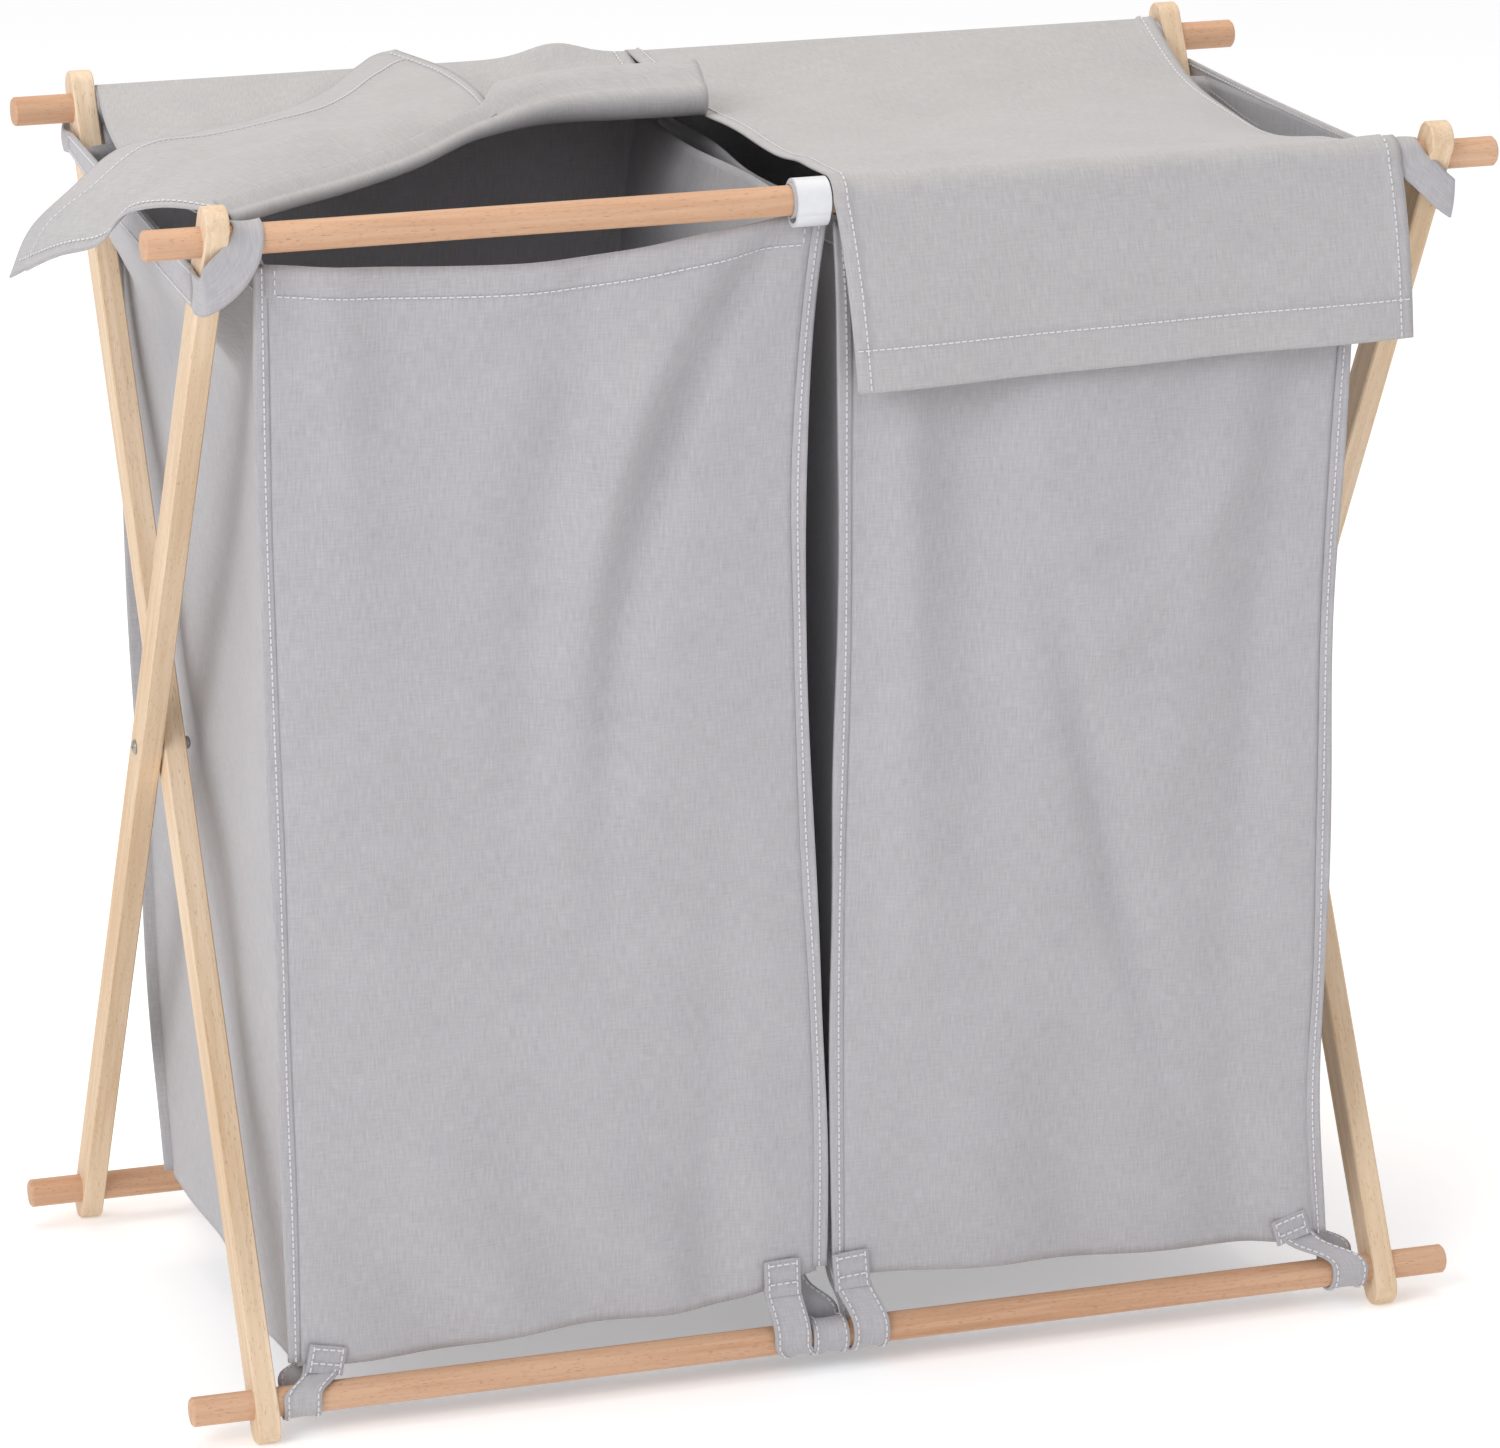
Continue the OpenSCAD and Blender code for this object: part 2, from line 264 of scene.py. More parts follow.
nylon, nylon_tree, nylon_shader, nylon_ripple = mottled(
    "moulded white nylon", "#D6D7DB", "#E0E1E5", 260, roughness=0.38
)
relief(nylon_tree, nylon_shader, nylon_ripple, 0.2, 0.0003)
finish_node("bar_clip", nylon)

# ---- Bags ----
# Each bag is sewn from thin grey cotton cloth: a front, a back, two sides and a bottom. It
# hangs from the top bars, so its mouth sags between its corners and its walls bow and crease.

cloth_thick = 0.0011
seam_fin = 0.0065
mouth_hem = 0.0175
hem_step = 0.0008
front_pull = 2.2
band_from_middle = (0.3422, 0.3296)
bag_low, bag_high = 0.045, 0.636
leg_clear, leg_soft = 0.0135, 0.014
flare_from, flare_over = 0.555, 0.066


def cotton(name, light, dark, thread=0.0009, weft_share=0.68):
    """Plain-woven cotton, drawn from a UV map in metres. Two sets of slubby threads cross, some
    paler than others, and the upright set shows more. Real threads are a third of a millimetre
    apart and are drawn coarser."""
    material, tree, principled = new_material(name, roughness=0.88)
    principled.inputs["Sheen Weight"].default_value = 0.18
    principled.inputs["Sheen Roughness"].default_value = 0.5
    principled.inputs["Specular IOR Level"].default_value = 0.25
    flat = add(tree, "ShaderNodeUVMap", uv_map="cloth").outputs["UV"]
    warp = noise(tree, flat, stretch=(1 / thread, 1 / (thread * 11), 1), Detail=2)
    weft = noise(tree, flat, stretch=(1 / (thread * 11), 1 / thread, 1), Detail=2)
    crossed = maths(tree, "ADD", warp, maths(tree, "MULTIPLY", weft, weft_share))
    clouds = noise(tree, flat, scale=22, Detail=3)
    whole = maths(tree, "ADD", crossed, maths(tree, "MULTIPLY", clouds, 0.35))
    tone = add(
        tree, "ShaderNodeMapRange", {"Value": whole, "From Min": 0.50, "From Max": 1.54}
    ).outputs["Result"]
    tree.links.new(blend(tree, tone, dark, light), principled.inputs["Base Color"])
    relief(tree, principled, crossed, 0.22, 0.0004)
    return material


bag_cotton = cotton("grey woven cotton", "#BFBDC0", "#9F9DA0")


def run_along(path):
    """The running length at each point of a path."""
    return np.linalg.norm(np.diff(path, axis=0, prepend=path[:1]), axis=1).cumsum()


def cloth_grid(name, points, material, body, uv=None, thick=cloth_thick, loop=False):
    """A cloth surface from an (m, n, 3) grid of points in metres. Without a uv it lays the grid
    out by its running lengths. Loop joins the last column to the first."""
    m, n, _ = points.shape
    if uv is None:
        rows = np.linalg.norm(np.diff(points, axis=0, prepend=points[:1]), axis=2).cumsum(0)
        columns = np.linalg.norm(np.diff(points, axis=1, prepend=points[:, :1]), axis=2).cumsum(1)
        uv = np.stack([columns, rows], axis=2)
    index = np.arange(m * n).reshape(m, n)
    right = np.roll(index, -1, axis=1) if loop else index[:, 1:]
    left = index if loop else index[:, :-1]
    faces = np.stack([left[:-1], right[:-1], right[1:], left[1:]], axis=2).reshape(-1, 4)
    mesh = bpy.data.meshes.new(name)
    mesh.from_pydata(points.reshape(-1, 3).tolist(), [], faces.tolist())
    layer = mesh.uv_layers.new(name="cloth")
    corners = uv.reshape(-1, 2)[faces.ravel()].reshape(-1, 4, 2)
    if loop:
        # the joining column carries on past the last one instead of running back to zero
        seam = (faces % n)[:, 1] == 0
        step = np.linalg.norm(points[:, 0] - points[:, -1], axis=1).mean()
        corners[seam, 1, 0] = corners[seam, 0, 0] + step
        corners[seam, 2, 0] = corners[seam, 3, 0] + step
    layer.data.foreach_set("uv", corners.ravel())
    mesh.polygons.foreach_set("use_smooth", np.ones(len(faces), bool))
    mesh.materials.append(material)
    piece = bpy.data.objects.new(name, mesh)
    bpy.context.collection.objects.link(piece)
    wall = piece.modifiers.new("cloth thickness", "SOLIDIFY")
    wall.thickness, wall.offset = thick, 0
    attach(piece, body)
    return piece


def smooth_path(t, knots, values):
    """Values at t, eased through the knots by Catmull-Rom arcs. Values may be points."""
    knots, values = np.asarray(knots, float), np.asarray(values, float)
    if values.ndim == 1:
        return smooth_path(t, knots, values[:, None])[:, 0]
    slope = np.gradient(values, knots, axis=0)
    t = np.clip(np.asarray(t, float), knots[0], knots[-1])
    i = np.clip(np.searchsorted(knots, t, side="right") - 1, 0, len(knots) - 2)
    h = (knots[i + 1] - knots[i])[:, None]
    u = (t - knots[i])[:, None] / h
    return (
        (2 * u**3 - 3 * u**2 + 1) * values[i]
        + (u**3 - 2 * u**2 + u) * h * slope[i]
        + (3 * u**2 - 2 * u**3) * values[i + 1]
        + (u**3 - u**2) * h * slope[i + 1]
    )


def bump_at(a, centre, width):
    """A rounded hump of height one at centre, dying away over width."""
    return np.exp(-(((a - centre) / width) ** 2))


def ease(t):
    """A smooth step from 0 to 1 as t goes from 0 to 1."""
    t = np.clip(t, 0, 1)
    return t * t * (3 - 2 * t)


def band_line(y):
    """How far from the middle a side band runs at depth y: it goes outside the outer leg at the
    front and outside the inner leg at the rear, so it closes in by a straight line between."""
    return np.interp(y, [-bar_y, bar_y], band_from_middle)


def bag_walls(side, s, h):
    """Points of a bag's four walls. s runs 0 to 4 round the bag, one unit to each wall from the
    front left corner, and h runs 0 to 1 up it. The corners follow their own leaning lines, and
    each wall bows out from them by a parabola, less the long creases that its hanging gives."""
    ex = bag_edges[side]
    heights = np.array([0.045, 0.124, 0.205, 0.300, 0.407, 0.500, 0.600, 0.640])
    nominal = bag_low + h * (bag_high - bag_low)
    x_left = smooth_path(nominal, heights, ex["left"])
    x_right = smooth_path(nominal, heights, ex["right"])
    y_front = smooth_path(nominal, heights, ex["front"])
    y_back = smooth_path(nominal, heights, ex["back"])
    wall = np.clip(np.floor(s).astype(int), 0, 3)
    a = s - wall
    x = np.choose(wall, [x_left + a * (x_right - x_left), x_right, x_right + a * (x_left - x_right), x_left])
    y = np.choose(wall, [y_front, y_front + a * (y_back - y_front), y_back, y_back + a * (y_front - y_back)])
    arch = 4 * a * (1 - a)
    low = np.clip(h * (1 - h) * 4, 0, 1)
    bow = np.choose(wall, [0.0045 * low, -0.007 * low, 0.005 * low, ex["side_bow"] * low]) * arch
    crease = ex["crease"](wall, a, h)
    out_x = np.choose(wall, [0 * a, 1 + 0 * a, 0 * a, -1 + 0 * a])
    out_y = np.choose(wall, [-1 + 0 * a, 0 * a, 1 + 0 * a, 0 * a])
    x = x + out_x * (bow + crease)
    y = y + out_y * (bow + crease)
    floor_z = smooth_path(s, [0, 0.12, 0.5, 0.85, 1, 1.5, 2, 2.5, 3, 3.4, 3.7, 4], ex["floor"])
    rim_z = smooth_path(s, [0, 0.12, 0.35, 0.6, 0.85, 1, 1.5, 2, 2.5, 3, 3.5, 4], ex["rim"])
    z = floor_z + h * (rim_z - floor_z)
    # between the legs the outer end wall flares out to the band it is sewn to
    leg_inner_y = bar_y - (top_z - z) * np.tan(leg_lean) - leg_clear
    clear_of_legs = ease((leg_inner_y - np.abs(y)) / leg_soft)
    rising = ease((z - flare_from) / flare_over)
    outer_wall = wall == (3 if side == "left" else 1)
    to_band = out_x * (band_line(y) - 0.0016) - x
    x = x + np.where(outer_wall, to_band * rising * clear_of_legs, 0)
    return np.stack([x, y, z], axis=-1)


def left_crease(wall, a, h):
    """Long folds of the left bag: two fall from the clip near the right edge, a slack one from
    the left corner, and slow waves over all of it."""
    fade = np.sin(np.pi * np.clip(a, 0, 1)) ** 0.5
    pulled = 0.97 - 0.37 * (1 - np.exp(-(1 - h) / 0.20))
    front = (
        -0.0062 * bump_at(a, pulled, 0.05) * bump_at(h, 0.82, 0.28)
        + 0.0040 * bump_at(a, pulled - 0.10, 0.06) * bump_at(h, 0.78, 0.26)
        - 0.0040 * bump_at(a, 0.60 - 0.22 * (1 - h), 0.09) * bump_at(h, 0.80, 0.30)
        + 0.0030 * bump_at(a, 0.12 + 0.10 * (1 - h), 0.06) * bump_at(h, 0.90, 0.20)
        + 0.0022 * np.sin(7.0 * a + 3.1 * h + 0.4) * h
        - 0.0035 * bump_at(a, 0.80 + 0.10 * h, 0.06) * bump_at(h, 0.16, 0.20)
        + 0.0030 * bump_at(a, 0.90 - 0.25 * h, 0.06) * bump_at(h, 0.08, 0.14)
        + 0.0015 * np.sin(19 * a + 5 * np.sin(4 * h)) * bump_at(h, 0.05, 0.12)
    )
    other = 0.0030 * np.sin(6.3 * a + 4.0 * h + wall) + 0.0018 * np.sin(13 * a - 6 * h + 2 * wall)
    return np.where(wall == 0, front_pull * front, other) * fade


def right_crease(wall, a, h):
    """Long folds of the right bag: one down beside its left seam, one slanting from the right
    corner, and slow waves over the rest."""
    fade = np.sin(np.pi * np.clip(a, 0, 1)) ** 0.5
    front = (
        0.0040 * bump_at(a, 0.10 + 0.05 * (1 - h), 0.05) * bump_at(h, 0.70, 0.35)
        - 0.0050 * bump_at(a, 0.22 + 0.10 * (1 - h), 0.08) * bump_at(h, 0.78, 0.35)
        + 0.0030 * bump_at(a, 0.84 - 0.30 * (1 - h), 0.07) * bump_at(h, 0.75, 0.30)
        - 0.0030 * bump_at(a, 0.93 - 0.16 * (1 - h), 0.05) * bump_at(h, 0.60, 0.35)
        - 0.0035 * bump_at(a, 0.78 - 0.55 * h, 0.05) * bump_at(h, 0.42, 0.20)
        + 0.0025 * bump_at(a, 1.6 * h - 0.41, 0.07) * bump_at(h, 0.72, 0.13)
        + 0.0020 * np.sin(6.0 * a - 2.6 * h + 1.0)
        - 0.0035 * bump_at(a, 0.86, 0.06) * bump_at(h, 0.12, 0.16)
        + 0.0028 * bump_at(a, 0.95 - 0.3 * h, 0.05) * bump_at(h, 0.08, 0.16)
        + 0.0014 * np.sin(17 * a + 3) * bump_at(h, 0.05, 0.12)
    )
    other = 0.0030 * np.sin(5.7 * a + 3.4 * h + 2 * wall) + 0.0018 * np.sin(12 * a + 5 * h + wall)
    return np.where(wall == 0, front_pull * front, other) * fade


back_line = [0.108, 0.128, 0.134, 0.138, 0.142, 0.145, 0.146, 0.149]
bag_edges = {
    "left": {
        "left": [-0.300, -0.3005, -0.302, -0.303, -0.305, -0.3065, -0.3065, -0.3065],
        "right": [-0.0095, -0.0095, -0.0125, -0.018, -0.0215, -0.0226, -0.0154, -0.0100],
        "front": [-0.1695, -0.170, -0.170, -0.170, -0.170, -0.170, -0.170, -0.170],
        "back": back_line,
        "side_bow": -0.004,
        "crease": left_crease,
        "floor": [0.0370, 0.0355, 0.0405, 0.0450, 0.0560, 0.050, 0.052, 0.048, 0.047, 0.042, 0.034, 0.0370],
        "rim": [0.6370, 0.6330, 0.6285, 0.6295, 0.6395, 0.6430, 0.636, 0.636, 0.636, 0.636, 0.6385, 0.6370],
    },
    "right": {
        "left": [0.0055, 0.0045, 0.0040, 0.0050, 0.0073, 0.0073, 0.0060, 0.003],
        "right": [0.2845, 0.2785, 0.2805, 0.2805, 0.2800, 0.2835, 0.2880, 0.2890],
        "front": [-0.1695, -0.170, -0.170, -0.170, -0.170, -0.170, -0.170, -0.170],
        "back": back_line,
        "side_bow": -0.006,
        "crease": right_crease,
        "floor": [0.0520, 0.0505, 0.0440, 0.0410, 0.0395, 0.046, 0.050, 0.047, 0.050, 0.047, 0.049, 0.0520],
        "rim": [0.6400, 0.6360, 0.6330, 0.6330, 0.6340, 0.6350, 0.6385, 0.635, 0.635, 0.635, 0.634, 0.6400],
    },
}

wall_columns = 56
wall_rows = 120
floor_rows = 12
nodes_of_bag = ("front", "back", "outer_side", "inner_side", "bottom")
for side in ("left", "right"):
    around = np.concatenate([k + np.linspace(0, 1, wall_columns, endpoint=False) for k in range(4)])
    up = np.linspace(0, 1, wall_rows)
    grid_s, grid_h = np.meshgrid(around, up)
    shell = bag_walls(side, grid_s.ravel(), grid_h.ravel()).reshape(wall_rows, -1, 3)
    # the mouth's hem is a second layer turned outwards, so it stands a step proud of the wall
    below_rim = shell[-1:, :, 2] - shell[:, :, 2]
    wall_of = grid_s.astype(int)
    outward = np.stack([np.choose(wall_of, [0, 1, 0, -1]), np.choose(wall_of, [-1, 0, 1, 0])], axis=2)
    shell[:, :, :2] += outward * (hem_step * (below_rim < mouth_hem))[:, :, None]
    # the bottom is the wall's lowest ring drawn in to the middle, sagging a little as it goes
    inward = np.linspace(0.0, 1.0, floor_rows, endpoint=False)[:, None, None]
    middle = shell[0].mean(axis=0)
    bottom = middle + (shell[0][None] - middle) * inward
    bottom[:, :, 2] -= 0.004 * (1 - inward[:, :, 0] ** 2)
    run = run_along(shell[wall_rows // 2])
    walls_uv = np.stack([np.broadcast_to(run, shell.shape[:2]), shell[:, :, 2]], axis=2)
    full_uv = np.concatenate([bottom[:, :, :2], walls_uv])
    bag = cloth_grid(
        f"{side}_bag", np.concatenate([bottom, shell]), bag_cotton, "bags", uv=full_uv, loop=True
    )
    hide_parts(*(f"{side}_bag_{part}" for part in nodes_of_bag))
    # the bottom's middle ring is one point, so its copies are merged into a closed pole
    closed = bmesh.new()
    closed.from_mesh(bag.data)
    bmesh.ops.remove_doubles(closed, verts=closed.verts, dist=1e-6)
    closed.to_mesh(bag.data)
    closed.free()
    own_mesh(bag)

# ---- Bag seams ----
# The walls are sewn wrong sides together, so every upright seam stands out as a flat fin of
# doubled cloth, with a row of pale thread just outside the corner. The mouth's hem has one too.

thread_pitch = 0.0038
stitch_long = 0.0026
thread_width = 0.0007
thread_lift = 0.0004
fin_thick = 0.0021

thread_material, *_ = mottled("pale sewing thread", "#C9C8CC", "#E6E5E8", 800, roughness=0.7)


def stitch_row(path, outward):
    """One row of stitches as an (n, 8, 3) array of box corners. The path is walked in equal
    steps, and each stitch is a short box along it, lifted off the cloth along outward."""
    gone = run_along(path)
    count = max(int(gone[-1] / thread_pitch), 1)
    at = (np.arange(count) + 0.5) * gone[-1] / count
    centre = np.stack([np.interp(at, gone, path[:, k]) for k in range(3)], axis=1)
    ahead = np.stack([np.interp(at + 0.001, gone, path[:, k]) for k in range(3)], axis=1)
    behind = np.stack([np.interp(at - 0.001, gone, path[:, k]) for k in range(3)], axis=1)
    along = ahead - behind
    along /= np.linalg.norm(along, axis=1, keepdims=True)
    up = np.stack([np.interp(at, gone, outward[:, k]) for k in range(3)], axis=1)
    across = np.cross(up, along)
    across /= np.linalg.norm(across, axis=1, keepdims=True)
    signs = np.array([[i, j, k] for i in (-1, 1) for j in (-1, 1) for k in (-1, 1)], float)
    offset = (
        signs[None, :, :1] * along[:, None] * stitch_long / 2
        + signs[None, :, 1:2] * across[:, None] * thread_width / 2
        + signs[None, :, 2:] * up[:, None] * thread_width / 2
    )
    return centre[:, None] + up[:, None] * thread_lift + offset


def sew(name, rows, body):
    """All of one piece's stitch rows as one object of small boxes, faces outwards."""
    boxes = np.concatenate([stitch_row(np.asarray(p, float), np.asarray(o, float)) for p, o in rows])
    quads = np.array([(0, 1, 3, 2), (4, 6, 7, 5), (0, 4, 5, 1), (2, 3, 7, 6), (0, 2, 6, 4), (1, 5, 7, 3)])
    faces = (np.arange(len(boxes))[:, None, None] * 8 + quads[None]).reshape(-1, 4)
    mesh = bpy.data.meshes.new(name)
    mesh.from_pydata(boxes.reshape(-1, 3).tolist(), [], faces.tolist())
    mesh.materials.append(thread_material)
    piece = bpy.data.objects.new(name, mesh)
    bpy.context.collection.objects.link(piece)
    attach(piece, body)
    return piece


def facing(direction, count):
    """The same unit direction, count times."""
    d = np.asarray(direction, float)
    return np.tile(d / np.linalg.norm(d), (count, 1))


wall_out = ((0, -1, 0), (1, 0, 0), (0, 1, 0), (-1, 0, 0))
hem_row_h = 1 - 0.016 / 0.59
for side in ("left", "right"):
    seam_h = np.linspace(0.004, 0.998, 130)
    thread_rows = []
    for corner, (out_x, face_y) in enumerate(((-1, -1), (1, -1), (1, 1), (-1, 1))):
        line = bag_walls(side, np.full(seam_h.shape, float(corner)), seam_h)
        width = seam_fin * (0.82 + 0.18 * np.sin(9 * seam_h + corner) ** 2)
        across = np.linspace(-0.25, 1.0, 6)
        fin = np.repeat(line[:, None], len(across), axis=1)
        fin[:, :, 0] += out_x * across * width[:, None]
        fin[:, :, 1] += face_y * 0.0006 * across + 0.0004 * np.sin(30 * seam_h)[:, None] * across
        if out_x * face_y > 0:
            fin = fin[:, ::-1]
        seam = cloth_grid(
            f"{side}_bag_seam_{corner + 1}", fin, bag_cotton, "bags", thick=fin_thick
        )
        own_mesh(seam)
        row = line.copy()
        row[:, 0] += out_x * 0.0015
        row[:, 1] += face_y * (fin_thick / 2 + 0.0002)
        thread_rows.append((row, facing((0, face_y, 0), len(row))))
    for wall, out in enumerate(wall_out):
        along = np.linspace(0.02, 0.98, 60)
        row = bag_walls(side, wall + along, np.full(along.shape, hem_row_h))
        row += np.array(out) * (hem_step + cloth_thick / 2)
        thread_rows.append((row, facing(out, len(row))))
    # the front hem's own ends are closed by a short upright row
    for end in (0.018, 0.982):
        row = bag_walls(side, np.full(8, end), np.linspace(hem_row_h, 0.997, 8))
        row[:, 1] -= hem_step + cloth_thick / 2
        thread_rows.append((row, facing((0, -1, 0), 8)))
    threads = sew(f"{side}_bag_stitching", thread_rows, "bags")
    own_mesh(threads)

# ---- Rear tunnels ----
# The cloth goes round the top rear bar in a sewn tunnel on each bag. Its doubled edge is
# stitched below the bar, and a skirt runs down to the back of the bag.

tunnel_r = 0.0092
tunnel_skirt = [(0.1535, 0.617), (0.1538, 0.628), (0.1570, 0.637)]
tunnel_hem = [(0.1622, 0.6400), (0.1578, 0.6345)]
tunnel_seam = (0.1638, 0.6402)
lid_ends = {"left": (-0.3125, -0.0066), "right": (-0.0062, 0.3095)}

for side in ("left", "right"):
    turn = np.radians(np.linspace(222, -122, 40))
    round_bar = np.stack([bar_y + tunnel_r * np.cos(turn), top_z + tunnel_r * np.sin(turn)], axis=1)
    profile = np.concatenate([tunnel_skirt, round_bar, tunnel_hem])
    x = np.linspace(*lid_ends[side], 90)
    tunnel = np.empty((len(profile), len(x), 3))
    tunnel[:, :, 0] = x
    tunnel[:, :, 1] = profile[:, :1] + 0.0008 * np.sin(55 * x) * (profile[:, 1:] < top_z - 0.011)
    tunnel[:, :, 2] = profile[:, 1:] + 0.0003 * np.sin(90 * x + 12 * profile[:, :1] * 100)
    piece = cloth_grid(f"{side}_rear_tunnel", tunnel, bag_cotton, "rear_tunnels")
    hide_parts(f"{side}_rear_casing")
    seam = np.stack([x, np.full(x.shape, tunnel_seam[0]), np.full(x.shape, tunnel_seam[1])], axis=1)
    sew(f"{side}_tunnel_stitching", [(seam, facing((0, 0.7, -0.7), len(x)))], "rear_tunnels")

# ---- Right lid ----
# A hemmed sheet that starts behind the rear bar, sags to the front bar and hangs over it. Its
# free right edge sags most, and its front hem is turned up and stitched.

lid_r = 0.0113
lid_side_hem = 0.009
lid_front_hem = 0.0235
lid_left_x, lid_right_x = -0.0068, 0.3110
flap_drop = (top_z - 0.5490, top_z - 0.5560)
flap_shift = (0.0135, 0.0095)
# a lid starts behind the rear bar, this many degrees round from level, and turns up over it
wrap_from, wrap_turn = -12, 102


def right_lid_point(u, w):
    """A point of the right lid: u from 0 at its left edge to 1 at its right, and w in four parts.
    0 to 1 goes round the rear bar, 1 to 2 sags between the bars by a parabola that is deepest at
    the right edge, 2 to 3 goes round the front bar and 3 to 4 hangs straight down."""
    part = np.clip(np.floor(w).astype(int), 0, 3)
    f = w - part
    back_turn = np.radians(wrap_from + wrap_turn * f)
    back_r = lid_r - 0.0009 * (1 - f) ** 2
    front_turn = np.radians(90 + 90 * f)
    y_mid = bar_y * (1 - 2 * f)
    depth = 0.008 + 0.008 * u + 0.015 * u**7
    lean_back = 1 + 0.25 * y_mid / bar_y
    span = (1 - (y_mid / bar_y) ** 2) * lean_back
    ripple = 0.0016 * np.sin(9 * u + 14 * f) * span + 0.0022 * bump_at(f, 0.86, 0.05) * np.sin(5 * u + 0.6)
    drop = f * (flap_drop[0] + u * (flap_drop[1] - flap_drop[0]))
    fall = 0.0016 * np.sin(7 * u + 0.8) * f + 0.0012 * np.sin(16 * u) * f**2
    y = np.choose(part, [
        bar_y + back_r * np.cos(back_turn), y_mid, -bar_y + lid_r * np.cos(front_turn),
        -bar_y - lid_r - 0.0022 * np.sin(np.pi * f) - fall,
    ])
    z = np.choose(part, [
        top_z + back_r * np.sin(back_turn), top_z + lid_r - depth * span + ripple,
        top_z + lid_r * np.sin(front_turn), top_z - drop,
    ])
    pull = 0.004 * np.sin(np.pi * np.clip(f, 0, 1)) * u**5
    shift = flap_shift[0] + u * (flap_shift[1] - flap_shift[0])
    x = lid_left_x + u * (lid_right_x - lid_left_x) + np.choose(part, [0 * u, -pull, 0 * u, shift * f**0.8])
    out = np.stack([0 * u, np.choose(part, [np.cos(back_turn), 0 * u, np.cos(front_turn), 0 * u - 1]),
                    np.choose(part, [np.sin(back_turn), 0 * u + 1, np.sin(front_turn), 0 * u])], axis=-1)
    return np.stack([x, y, z], axis=-1), out


lid_span_x = lid_right_x - lid_left_x
edge_steps = np.array([0, 0.4, 0.8, 0.94, 1.06, 1.5]) * lid_side_hem / lid_span_x
across = np.unique(np.concatenate([edge_steps, np.linspace(0.05, 0.95, 60), 1 - edge_steps]))
flap_mean = sum(flap_drop) / 2
hem_from = 1 - lid_front_hem / flap_mean
along = np.concatenate([
    np.linspace(0, 1, 12, endpoint=False), np.linspace(1, 2, 70, endpoint=False),
    np.linspace(2, 3, 12, endpoint=False), 3 + np.linspace(0, hem_from - 0.01, 22),
    3 + np.linspace(hem_from + 0.004, 0.9999, 10),
])
grid_u, grid_w = np.meshgrid(across, along)
lid_points, lid_out = right_lid_point(grid_u.ravel(), grid_w.ravel())
edge_gap = np.minimum(grid_u, 1 - grid_u) * lid_span_x
doubled = (edge_gap < lid_side_hem) | (grid_w > 3 + hem_from)
lid_points = lid_points.reshape(*grid_u.shape, 3)
lid_points += lid_out.reshape(lid_points.shape) * (hem_step * doubled)[:, :, None]
lid_cotton = cotton("grey woven cotton, lids", "#C0BEBF", "#A2A0A1")
right_lid = cloth_grid("right_lid_cloth", lid_points, lid_cotton, "right_lid")
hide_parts("right_lid")
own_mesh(right_lid)

lid_rows = []
whole_way = np.linspace(0.3, 3.99, 160)
side_row_u = 0.8 * lid_side_hem / lid_span_x
for u in (side_row_u, 1 - side_row_u):
    row, out = right_lid_point(np.full(whole_way.shape, u), whole_way)
    lid_rows.append((row + out * (hem_step + cloth_thick / 2), out))
hem_u = np.linspace(0.004, 0.996, 80)
row, out = right_lid_point(hem_u, np.full(hem_u.shape, 3 + hem_from + 0.010))
lid_rows.append((row + out * (hem_step + cloth_thick / 2), out))
lid_threads = sew("right_lid_stitching", lid_rows, "right_lid")
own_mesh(lid_threads)

# ---- Left lid ----
# The same sheet thrown open: it comes forward from the rear bar, folds over on a slant, and
# lies back on itself. One corner of its front hem hangs past the left end of the stand.

fold_edge = [
    (-0.324, -0.166, 0.6640), (-0.287, -0.131, 0.6625), (-0.241, -0.095, 0.6620),
    (-0.205, -0.066, 0.6630), (-0.142, 0.000, 0.6660), (-0.091, 0.036, 0.6700), (-0.0066, 0.032, 0.6730),
]
hanging_edge = [
    (-0.324, -0.166, 0.6640), (-0.352, -0.124, 0.6600), (-0.363, -0.102, 0.6520),
    (-0.371, -0.083, 0.6340), (-0.386, -0.050, 0.6210), (-0.3985, 0.012, 0.5960),
]
free_hem = [
    (-0.3985, 0.012, 0.5960), (-0.390, 0.002, 0.6220), (-0.370, -0.016, 0.6480), (-0.346, -0.006, 0.6630),
    (-0.300, 0.018, 0.6650), (-0.253, 0.042, 0.6665), (-0.205, 0.088, 0.6690), (-0.176, 0.130, 0.6725),
    (-0.158, 0.150, 0.6750), (-0.147, 0.155, 0.6755),
]
side_edge = [
    (-0.131, 0.012, 0.6680), (-0.128, 0.060, 0.6710), (-0.131, 0.110, 0.6730), (-0.147, 0.155, 0.6755),
]
over_bar = 0.12
roll_least, roll_most = 0.0035, 0.0085
lip_more = 0.045
lip_rise = 0.85


def roll_radius(s):
    """The fold's radius: tight on the left, and fuller by a smooth step towards the right end."""
    return roll_least + (roll_most - roll_least) * ease((s - 0.56) / 0.34)


def along_curve(points, t):
    """Points at shares t of the way along an eased curve through points."""
    points = np.asarray(points, float)
    gone = run_along(points)
    return smooth_path(np.asarray(t) * gone[-1], gone, points)


